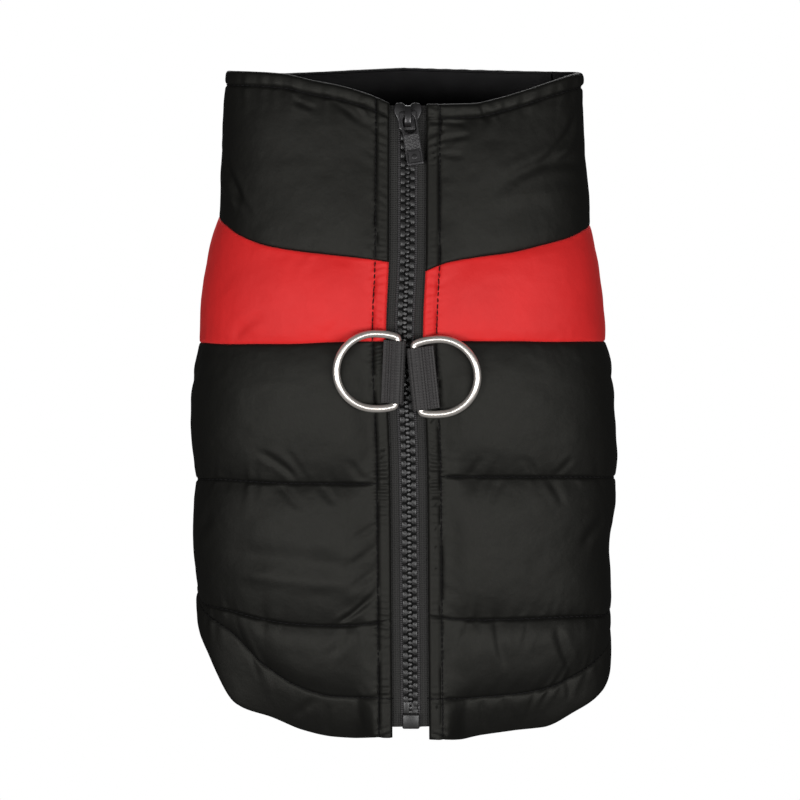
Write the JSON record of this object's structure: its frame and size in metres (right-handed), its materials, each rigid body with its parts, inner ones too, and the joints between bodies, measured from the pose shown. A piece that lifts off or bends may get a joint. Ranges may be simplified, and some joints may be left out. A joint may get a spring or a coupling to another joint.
{
  "type": "dog winter vest",
  "caption": "Hollow quilted dog vest with a zip along the back, two D-rings for a lead, an open neck and hem, and two leg holes in the belly.",
  "frame": {"origin": "middle of the vest's hollow, where the dog's body is", "axes": "+Z to the neck, -Y out of the back of the vest with its zip, +X to the right seen from there"},
  "size_m": [0.1725, 0.0939, 0.2693],
  "materials": {
    "black_nylon": "satin",
    "red_nylon": "satin",
    "lining": "satin",
    "binding": "matt",
    "zip_tape": "matt",
    "webbing": "matt",
    "moulded": "satin",
    "lacquer": "satin",
    "steel": "polished"
  },
  "bodies": {
    "vest": {"shoulder_left": "black_nylon", "shoulder_right": "black_nylon", "band_left": "red_nylon", "band_right": "red_nylon", "body_left": "black_nylon", "body_right": "black_nylon", "belly": "black_nylon", "neck_lining": "lining", "leg_binding_left": "binding", "leg_binding_right": "binding", "zip_tape_left": "zip_tape", "zip_tape_right": "zip_tape", "zip_chain": "moulded", "zip_box": "moulded", "zip_slider": "lacquer", "webbing_left": "webbing", "webbing_right": "webbing"},
    "pull_tab": {"zip_pull": "lacquer"},
    "lead_ring_left": {"ring_left": "steel"},
    "lead_ring_right": {"ring_right": "steel"}
  },
  "joints": [
    {"name": "pull_swing", "type": "hinge", "parent": "vest", "child": "pull_tab", "pos_m": [0.00156, -0.03122, 0.11441], "axis": [-0.989, -0.0213, -0.1464], "range_deg": [0, 165]},
    {"name": "ring_left_swing", "type": "hinge", "parent": "vest", "child": "lead_ring_left", "pos_m": [-0.003, -0.0443, 0.0116], "axis": [0.0436, 0, 0.999], "range_deg": [0, 84]},
    {"name": "ring_right_swing", "type": "hinge", "parent": "vest", "child": "lead_ring_right", "pos_m": [0.0054, -0.0443, 0.0089], "axis": [0.1045, 0, -0.9945], "range_deg": [0, 84]}
  ]
}
